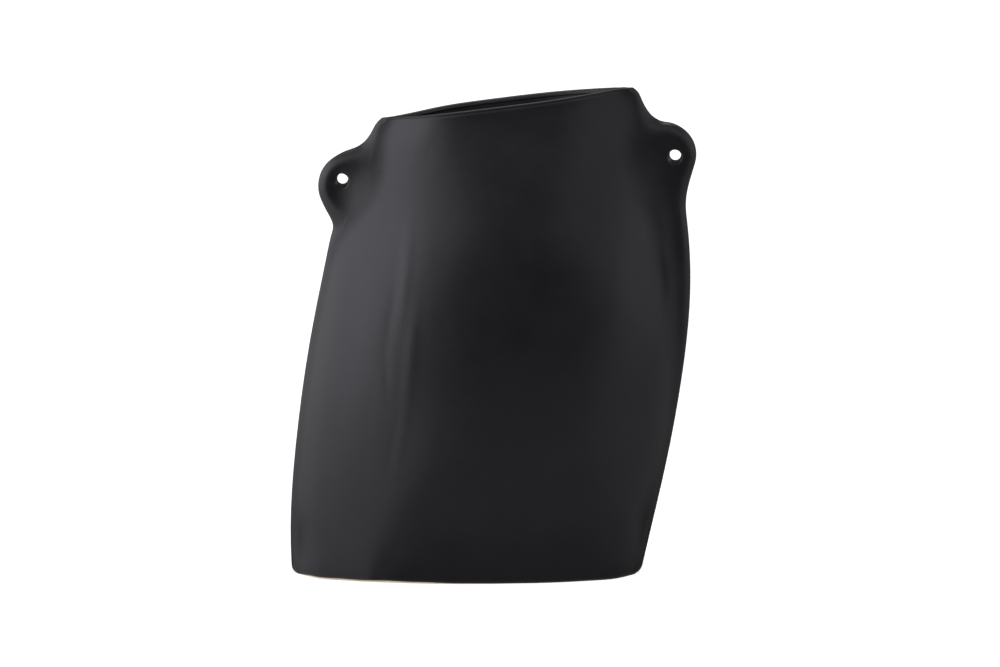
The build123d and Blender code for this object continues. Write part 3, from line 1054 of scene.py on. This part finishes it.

# %% [markdown]
# ## One skin over all pieces
# The glaze hides the joints, so the pieces are shaded as one skin: the normals are worked out over
# all glazed faces together and given to every corner. Two things that the finish needs later are
# kept on the points: how thin the glaze lies on an edge and on the rim, which also places a painted
# highlight there, and how near it is to the foot line.

# %% Turn the pieces into meshes
def as_mesh(name):
    """One welded piece as a mesh with its faces turned outward."""
    points, faces, skin = pieces[name].welded()
    mesh = bpy.data.meshes.new(f"{name}_mesh")
    mesh.from_pydata(points.tolist(), [], faces)
    work = bmesh.new()
    work.from_mesh(mesh)
    bmesh.ops.recalc_face_normals(work, faces=work.faces[:])
    open_edges = sum(not edge.is_manifold for edge in work.edges)
    work.to_mesh(mesh)
    work.free()
    print(name, "faces:", len(mesh.polygons), "open edges:", open_edges)
    return mesh, skin


def point_places(mesh):
    return np.array([vertex.co for vertex in mesh.vertices])


meshes = {name: as_mesh(name) for name in pieces}
glazed = [name for name in meshes if name != "floor_slab"]

# %% Sum up the normals of the glazed faces
SHARED = 10 * WELD                      # corners that near each other share their normal
skin_sums = {}
corner_keys = {}
for name in glazed:
    mesh, skin = meshes[name]
    keys = np.round(point_places(mesh) / SHARED).astype(np.int64)
    corner_keys[name] = [tuple(key) for key in keys.tolist()]
    for polygon, is_skin in zip(mesh.polygons, skin):
        if is_skin:
            for corner in polygon.vertices:
                key = corner_keys[name][corner]
                skin_sums[key] = skin_sums.get(key, 0) + np.array(polygon.normal) * polygon.area
print("points of the shared skin:", len(skin_sums))

# %% Notes for the finish
THIN_REACH = 0.9 * MM
FOOT_LINE_REACH = 1.4 * MM


def note_on_points(mesh, name, values):
    attribute = mesh.attributes.new(name, "FLOAT", "POINT")
    attribute.data.foreach_set("value", np.asarray(values, np.float32))


def note_glaze(mesh):
    """Notes how thin the glaze lies, which also places a painted highlight on edges and rim, and how near
    its lower edge is.
    """
    points = point_places(mesh)
    x, y, z = points.T
    edge = np.maximum(edge_distance(points[:, [0, 2]]), 0)
    rim = np.where(y < 0, rim_line(x, FRONT), rim_line(x, BACK))
    at_rim = (z > joints["left"]["collar"][1]) * np.exp(-np.abs(rim - z) / THIN_REACH)
    note_on_points(mesh, "thin_glaze", np.maximum(np.exp(-edge / THIN_REACH), at_rim))
    line = np.where(y < 0, glaze_line(x, FRONT), glaze_line(x, BACK))
    note_on_points(mesh, "foot_line", np.exp(-np.abs(z - line) / FOOT_LINE_REACH))


# %% Shade the pieces as one and attach them to the root
def share_normals(name):
    """Gives each corner of a glazed face the normal of the whole skin."""
    mesh, skin = meshes[name]
    normals = []
    for polygon, is_skin in zip(mesh.polygons, skin):
        for corner in polygon.vertices:
            normal = unit(skin_sums[corner_keys[name][corner]]) if is_skin else polygon.normal
            normals.append(tuple(normal))
    mesh.normals_split_custom_set(normals)


shown = {}
for name, (mesh, _) in meshes.items():
    mesh.shade_smooth()
    if name in glazed:
        share_normals(name)
    note_glaze(mesh)
    shown[name] = bpy.data.objects.new(f"{name}_fired", mesh)
    bpy.context.scene.collection.objects.link(shown[name])
    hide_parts(name)
    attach(shown[name], "root")
    "bare_clay" if name == "floor_slab" else "black_glaze"

# %% [markdown]
# ## The finishes
# Shader maths is easier to read as a formula than as a web of nodes. The small class below wraps a
# socket; an expression on such wires adds the Math nodes, and every other node comes from `add`.

# %% A wire that does sums
class Wire:
    """One output socket of a node tree."""

    def __init__(self, tree, socket):
        self.tree = tree
        self.socket = socket

    def add(self, kind, settings=None, sockets=None, out=0):
        """Adds a node: its type, its settings, its socket values or links, and the output to use."""
        node = self.tree.nodes.new(kind)
        for key, value in (settings or {}).items():
            setattr(node, key, value)
        for key, value in (sockets or {}).items():
            if isinstance(value, Wire):
                self.tree.links.new(value.socket, node.inputs[key])
            else:
                node.inputs[key].default_value = value
        return Wire(self.tree, node.outputs[out] if node.outputs else None)

    def sum(self, operation, first, second):
        return self.add("ShaderNodeMath", {"operation": operation}, {0: first, 1: second})

    def __add__(self, other):
        return self.sum("ADD", self, other)

    def __radd__(self, other):
        return self.sum("ADD", other, self)

    def __sub__(self, other):
        return self.sum("SUBTRACT", self, other)

    def __rsub__(self, other):
        return self.sum("SUBTRACT", other, self)

    def __mul__(self, other):
        return self.sum("MULTIPLY", self, other)

    def __rmul__(self, other):
        return self.sum("MULTIPLY", other, self)

    def larger(self, other):
        return self.sum("MAXIMUM", self, other)

    def climb(self, low, high):
        """0 below low, 1 above high, smooth between."""
        settings = {"interpolation_type": "SMOOTHSTEP"}
        return self.add("ShaderNodeMapRange", settings, {"Value": self, "From Min": low, "From Max": high})

    def blend(self, first, second):
        """One colour where this wire is 0 and another where it is 1."""
        # Sockets 6 and 7 and output 2 of this node are those for colours
        return self.add("ShaderNodeMix", {"data_type": "RGBA"}, {0: self, 6: first, 7: second}, out=2)

    def length(self):
        """How far a place lies from the middle of its object."""
        return self.add("ShaderNodeVectorMath", {"operation": "LENGTH"}, {0: self}, out="Value")


# %% Helpers for finishes
def new_finish(name):
    """An empty material, and a wire with the place on the object to start from."""
    material = bpy.data.materials.new(name)
    material.use_nodes = True
    material.node_tree.nodes.clear()
    return material, Wire(material.node_tree, None).add("ShaderNodeTexCoord", out="Object")


def noise(place, scale, detail=3.0, roughness=0.55):
    """Cloudy noise between 0 and 1; the scale counts clouds per metre."""
    sockets = {"Vector": place, "Scale": scale, "Detail": detail, "Roughness": roughness}
    return place.add("ShaderNodeTexNoise", None, sockets)


def spots(place, scale, inner, outer):
    """Round spots, 1 inside and 0 outside; the scale counts cells with a spot per metre."""
    sockets = {"Vector": place, "Scale": scale, "Randomness": 1.0}
    return 1 - place.add("ShaderNodeTexVoronoi", None, sockets, out="Distance").climb(inner, outer)


def noted(place, name):
    """A value that was noted on the points."""
    return place.add("ShaderNodeAttribute", {"attribute_name": name}, out="Fac")


def ray_kinds(place):
    """Three wires: whether a ray is the camera's own, comes off a shiny face or passed through."""
    kinds = ("Is Camera Ray", "Is Glossy Ray", "Is Transmission Ray")
    return [place.add("ShaderNodeLightPath", out=kind) for kind in kinds]


def finish_with(place, sockets, heights):
    """A shader with a bumped normal, joined to the output; heights are in metres."""
    bump = place.add("ShaderNodeBump", None, {"Height": heights, "Distance": 1.0, "Strength": 1.0})
    shader = place.add("ShaderNodeBsdfPrincipled", None, {**sockets, "Normal": bump})
    place.add("ShaderNodeOutputMaterial", None, {"Surface": shader})


# %% [markdown]
# The glaze is a satin black: it lies in soft clouds, slightly rougher where it is thin on an edge,
# and lighter grey along the edges and the rim, partly for the thinner glaze and partly as a painted
# highlight; brownish along the foot where it met the wiped clay, with the fine pebble of small
# crystals that takes the hard shine off it. A few pinholes are left where bubbles broke.

# %% Black satin glaze
BLACK = (0.0052, 0.0051, 0.0057, 1)
PALER_BLACK = (0.0066, 0.0065, 0.0072, 1)
THIN_GLAZE_AND_SHEEN_GREY = (0.012, 0.011, 0.0105, 1)
FOOT_BROWN = (0.060, 0.032, 0.017, 1)
COOL_SHINE = (0.95, 0.94, 1.04, 1)
SATIN = 0.345
glaze, place = new_finish("black_satin_glaze")
clouds = noise(place, 45, detail=4)
grain = noise(place, 1400, detail=2)
drift = noise(place, 160, detail=3)
thin = noted(place, "thin_glaze")
foot = noted(place, "foot_line")
pinholes = spots(place, 210.0, 0.035, 0.075)
black = clouds.climb(0.3, 0.7).blend(BLACK, PALER_BLACK)
# lighter grey on the edges and the rim: partly thinner glaze, partly a painted highlight where edges catch
# the light
thin_and_sheened = (thin * 0.5).blend(black, THIN_GLAZE_AND_SHEEN_GREY)
browned = (foot.climb(0.35, 1.0) * 0.8).blend(thin_and_sheened, FOOT_BROWN)
satin = SATIN + (clouds - 0.5) * 0.10 + (drift - 0.5) * 0.05 + thin * 0.05
pebble = grain * (0.012 * MM) + drift * (0.05 * MM) - pinholes * (0.05 * MM)
shine = {"Roughness": satin, "IOR": 1.5, "Specular Tint": COOL_SHINE}
finish_with(place, {"Base Color": browned, **shine}, pebble)

# %% [markdown]
# The bare foot is a cream stoneware: matt, a little open, with grains of grog and a few iron
# specks, and warmer along the glaze line where the fire flashed it.

# %% Bare cream clay
CREAM = (0.90, 0.82, 0.69, 1)
DARKER_CREAM = (0.80, 0.71, 0.57, 1)
FLASH = (0.34, 0.20, 0.10, 1)
IRON = (0.18, 0.11, 0.07, 1)
clay, place = new_finish("bare_cream_clay")
clouds = noise(place, 70, detail=4)
grain = noise(place, 2200, detail=3, roughness=0.7)
foot = noted(place, "foot_line")
specks = spots(place, 520.0, 0.08, 0.16)
cream = clouds.climb(0.3, 0.7).blend(CREAM, DARKER_CREAM)
flashed = (foot.climb(0.7, 1.0) * 0.35).blend(cream, FLASH)
speckled = (specks * 0.7).blend(flashed, IRON)
finish_with(place, {"Base Color": speckled, "Roughness": 0.82 + grain * 0.12}, grain * (0.06 * MM))

# %% [markdown]
# The glaze covers the pot inside and outside, so the three coils that were worked into the inner
# corners carry it too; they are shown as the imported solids. Only the floor slab is left bare.

# %% Put the finishes on
for name, piece in shown.items():
    piece.data.materials.append(clay if name == "floor_slab" else glaze)
for name in sorted(set(frame["nodes"]) - set(shown)):
    coil = frame["nodes"][name].data
    coil.materials.clear()
    coil.materials.append(glaze)
    print("glazed inside the vase:", name)

# %% [markdown]
# ## The studio
# A black satin pot shows little but what it mirrors, so it is lit as a photographer would light
# it, with large softboxes and with cards beside them. The floor is near white to the camera, dim to
# the glaze, and still takes the shadow.

# %% Floor
FLOOR_SIZE = 16
FLOOR_NEAR = 0.70
FLOOR_FAR = 0.95
FLOOR_FADE = (0.25, 1.6)                # from the near brightness to the far one, in metres
FLOOR_IN_MIRROR = 0.15
bpy.ops.mesh.primitive_plane_add(size=FLOOR_SIZE)
floor = bpy.context.object
floor.name = "studio_floor"
floor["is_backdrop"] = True
pale, place = new_finish("pale_floor")
from_eye, from_mirror, from_glass = ray_kinds(place)
far = place.length().climb(*FLOOR_FADE)
paper = noise(place, 30).climb(0.2, 0.8).blend((0.80, 0.80, 0.80, 1), (0.82, 0.82, 0.82, 1))
matt = place.add("ShaderNodeBsdfDiffuse", None, {"Color": paper})
by_eye = from_eye * (FLOOR_NEAR + far * (FLOOR_FAR - FLOOR_NEAR))
by_mirror = from_mirror.larger(from_glass) * FLOOR_IN_MIRROR
glow = place.add("ShaderNodeEmission", None, {"Strength": by_eye + by_mirror})
both = place.add("ShaderNodeAddShader", None, {0: matt, 1: glow})
place.add("ShaderNodeOutputMaterial", None, {"Surface": both})
floor.data.materials.append(pale)

# %% [markdown]
# The cards give the glaze its long shapes. They glow with a set strength, painted light in place of
# grey cards lit by the lamps: a dim one runs from the foot out and up over the camera and keeps the
# front dark, a bright one on the left draws the lit side, and the others close the gaps between
# them. They stand in reflections only, so they cast no shadow and the camera does not see them.
# Each is one strip, bent along a profile.

# %% Profiles of the cards
CARD_LIFT = 0.4 * MM                    # cards that overlap on the floor lie this far apart
CARD_FADE = (0.2, 0.8)                  # from the near glow to the far one, in metres
WALL_AWAY = 1.3
# Glow strengths of the cards, near the vase and far from it: painted light in place of lit grey cards
CARD_GLOWS = {
    "front_card": (0.28, 0.04),
    "foot_card": (0.19, 0.19),
    "lip_card": (0.42, 0.42),
    "left_card": (0.84, 1.2),
    "right_canopy_card": (0.2, 0.2),
    "left_canopy_card": (0.32, 0.32),
    "back_card": (0.08, 0.08),
    "right_card": (0.38, 0.42),
    "right_wall_card": (0.38, 0.38),
}
# Profile of a card: distance from the vase, height, and where it begins and ends across
FRONT_CARD = [
    (0.0, 0.0, -0.045, 0.11),
    (0.13, 0.0, -0.075, 0.16),
    (0.3, 0.0, -0.11, 0.26),
    (0.45, 0.0, -0.21, 0.38),
    (0.6, 0.0, -0.47, 0.74),
    (1.0, 0.0, -1.01, 1.28),
    (1.5, 0.1, -1.06, 1.38),
    (1.8, 0.4, -0.92, 1.34),
    (1.9, 0.9, -0.75, 1.05),
    (1.85, 1.4, -0.70, 0.75),
    (1.6, 1.9, -0.70, 0.75),
    (1.1, 2.2, -0.70, 0.75),
    (0.3, 2.3, -0.70, 0.75),
]
FOOT_CARD = [
    (0.0, 0.0, -0.05, 0.10),
    (0.055, 0.0, -0.025, 0.08),
]
LEFT_CARD = [
    (-0.05, 0.0, -0.75, -0.10),
    (0.15, 0.0, -0.80, -0.10),
    (0.35, 0.0, -0.90, -0.16),
    (0.5, 0.0, -0.95, -0.29),
    (0.65, 0.0, -1.00, -0.54),
]
LIP_CARD = [
    (1.6, 1.0, -0.6, 0.7),
    (1.6, 1.6, -0.6, 0.7),
]
CANOPY = [
    (0.95, 1.1, -1.2, 1.2),
    (0.9, 1.6, -1.2, 1.2),
    (0.65, 2.1, -1.2, 1.2),
]
BACK_CARD = [
    (0.0, 0.0, -0.16, 0.16),
    (0.5, 0.0, -0.60, 0.60),
    (1.5, 0.1, -1.40, 1.40),
    (1.8, 0.4, -1.40, 1.40),
    (1.9, 0.9, -1.40, 1.40),
    (1.6, 1.9, -1.40, 1.40),
]
RIGHT_CARD = [
    (-1.0, 0.0, 0.10, 1.30),
    (0.0, 0.0, 0.10, 1.30),
    (1.0, 0.0, 0.50, 1.30),
    (1.8, 0.0, 0.70, 1.30),
]
RIGHT_WALL = [
    (0.0, 0.0, -1.0, 1.8),
    (0.1, 0.8, -1.0, 1.8),
    (0.0, 1.6, -1.0, 1.8),
]


# %% Hang the cards
def card(name, corners):
    """A card that only reflections see; it glows with one strength near the vase and another far from it,
    painted light in place of a lit grey card.
    """
    near_glow, far_glow = CARD_GLOWS[name]
    paper, place = new_finish(f"{name}_paper")
    cloudy = noise(place, 20).blend((0.97, 0.97, 0.97, 1), (1, 1, 1, 1))
    strength = near_glow + place.length().climb(*CARD_FADE) * (far_glow - near_glow)
    # the card glows by itself: painted light standing in for a grey card lit by the lamps
    tone = place.add("ShaderNodeEmission", None, {"Color": cloudy, "Strength": strength})
    place.add("ShaderNodeOutputMaterial", None, {"Surface": tone})
    faces = [(2 * k, 2 * k + 1, 2 * k + 3, 2 * k + 2) for k in range(len(corners) // 2 - 1)]
    mesh = bpy.data.meshes.new(name)
    mesh.from_pydata(corners, [], faces)
    mesh.materials.append(paper)
    holder = bpy.data.objects.new(name, mesh)
    bpy.context.scene.collection.objects.link(holder)
    holder.visible_camera = False
    holder.visible_diffuse = False
    holder.visible_shadow = False
    holder.visible_transmission = False
    holder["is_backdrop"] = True


def before(profile, lifts=0, face=FRONT):
    """The corners of a card that runs out from the vase on one face."""
    return [(x, face * y, z + lifts * CARD_LIFT) for y, z, *ends in profile for x in ends]


def beside(profile, side, start=0.0):
    """The corners of a card that stands on one side of the vase."""
    return [(SIDES[side] * (start + x), -y, z) for x, z, *ends in profile for y in ends]


card("front_card", before(FRONT_CARD, lifts=2))
card("foot_card", before(FOOT_CARD, lifts=3))
card("lip_card", before(LIP_CARD))
card("left_card", before(LEFT_CARD, lifts=1))
card("right_canopy_card", beside(CANOPY, "right"))
card("left_canopy_card", beside(CANOPY, "left"))
card("back_card", before(BACK_CARD, lifts=2, face=BACK))
card("right_card", before(RIGHT_CARD, lifts=1))
card("right_wall_card", beside(RIGHT_WALL, "right", start=WALL_AWAY))

# %% [markdown]
# The light comes from a softbox on the left, a weaker one on the right, a long one above and a
# small one in front. A large dim lamp fills the front; the glaze does not mirror it, so it lifts
# only the bare clay and the floor. The air is white behind the vase and lights it a little.

# %% Softboxes
# Place, target, width and height in metres, and brightness
SOFTBOXES = {
    "left_softbox": ((-0.9, -0.38, 0.5), (0, -0.38, 0.5), (1.3, 1.0), 1.25),
    "right_softbox": ((1.05, -0.3, 0.5), (0, 0, 0.2), (0.8, 0.9), 0.5),
    "top_softbox": ((0, 0.1, 1.5), (0, 0.05, 0), (1.2, 0.4), 4.0),
    "front_softbox": ((0.05, -0.9, 1.4), (0, 0, 0.2), (0.9, 0.3), 0.8),
    "front_fill": ((0.0, -1.5, 1.0), (0, 0, 0.1), (1.6, 1.2), 2.4),
}


def softbox(name, place, target, size, brightness):
    """A rectangular softbox of a given brightness, facing a target."""
    lamp = bpy.data.lights.new(name, "AREA")
    lamp.shape = "RECTANGLE"
    lamp.size, lamp.size_y = size
    lamp.energy = brightness * math.pi * size[0] * size[1]
    holder = bpy.data.objects.new(name, lamp)
    bpy.context.scene.collection.objects.link(holder)
    holder.location = place
    holder.rotation_euler = (Vector(target) - Vector(place)).to_track_quat("-Z", "Y").to_euler()
    holder.visible_camera = False
    return holder


lamps = {name: softbox(name, *settings) for name, settings in SOFTBOXES.items()}
lamps["front_fill"].visible_glossy = False

# %% Air
AIR_FILL = 0.2
WHITE = (1, 1, 1, 1)
world = bpy.data.worlds.new("studio_air")
bpy.context.scene.world = world
world.use_nodes = True
world.node_tree.nodes.clear()
air = Wire(world.node_tree, None)
from_eye, from_mirror, from_glass = ray_kinds(air)
seen = from_eye.larger(from_mirror).larger(from_glass)
brightness = AIR_FILL + seen * (1 - AIR_FILL)
sky = air.add("ShaderNodeBackground", None, {"Color": WHITE, "Strength": brightness})
air.add("ShaderNodeOutputWorld", None, {"Surface": sky})

# %% [markdown]
# ## The camera
# The photograph looks slightly down at the vase with a long lens, straight at its front.

# %% Camera
IMAGE_WIDTH = 1000
FOCAL_PIXELS = 3197.5
DISTANCE = 1.6
AIM = Vector((16.85, 0, 124.6)) * MM
ELEVATION = math.radians(13)
bpy.context.scene.view_settings.view_transform = "Standard"
lens = bpy.data.cameras.new("camera")
lens.sensor_width = 36
lens.lens = FOCAL_PIXELS / IMAGE_WIDTH * lens.sensor_width
camera = bpy.data.objects.new("camera", lens)
bpy.context.scene.collection.objects.link(camera)
camera.location = AIM + DISTANCE * Vector((0, -math.cos(ELEVATION), math.sin(ELEVATION)))
camera.rotation_euler = (math.pi / 2 - ELEVATION, 0, 0)
bpy.context.scene.camera = camera
print("lens in mm:", round(lens.lens, 2))

# %% [markdown]
# At the end the box of the fired pieces is set beside the box of the packed clay. The two agree to
# within a millimetre; what is left is the eased outline.

# %% Print the box of the fired pieces
fired_box = [list(corner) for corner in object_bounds()]
print("fired box in mm:", [[round(value / MM, 1) for value in corner] for corner in fired_box])
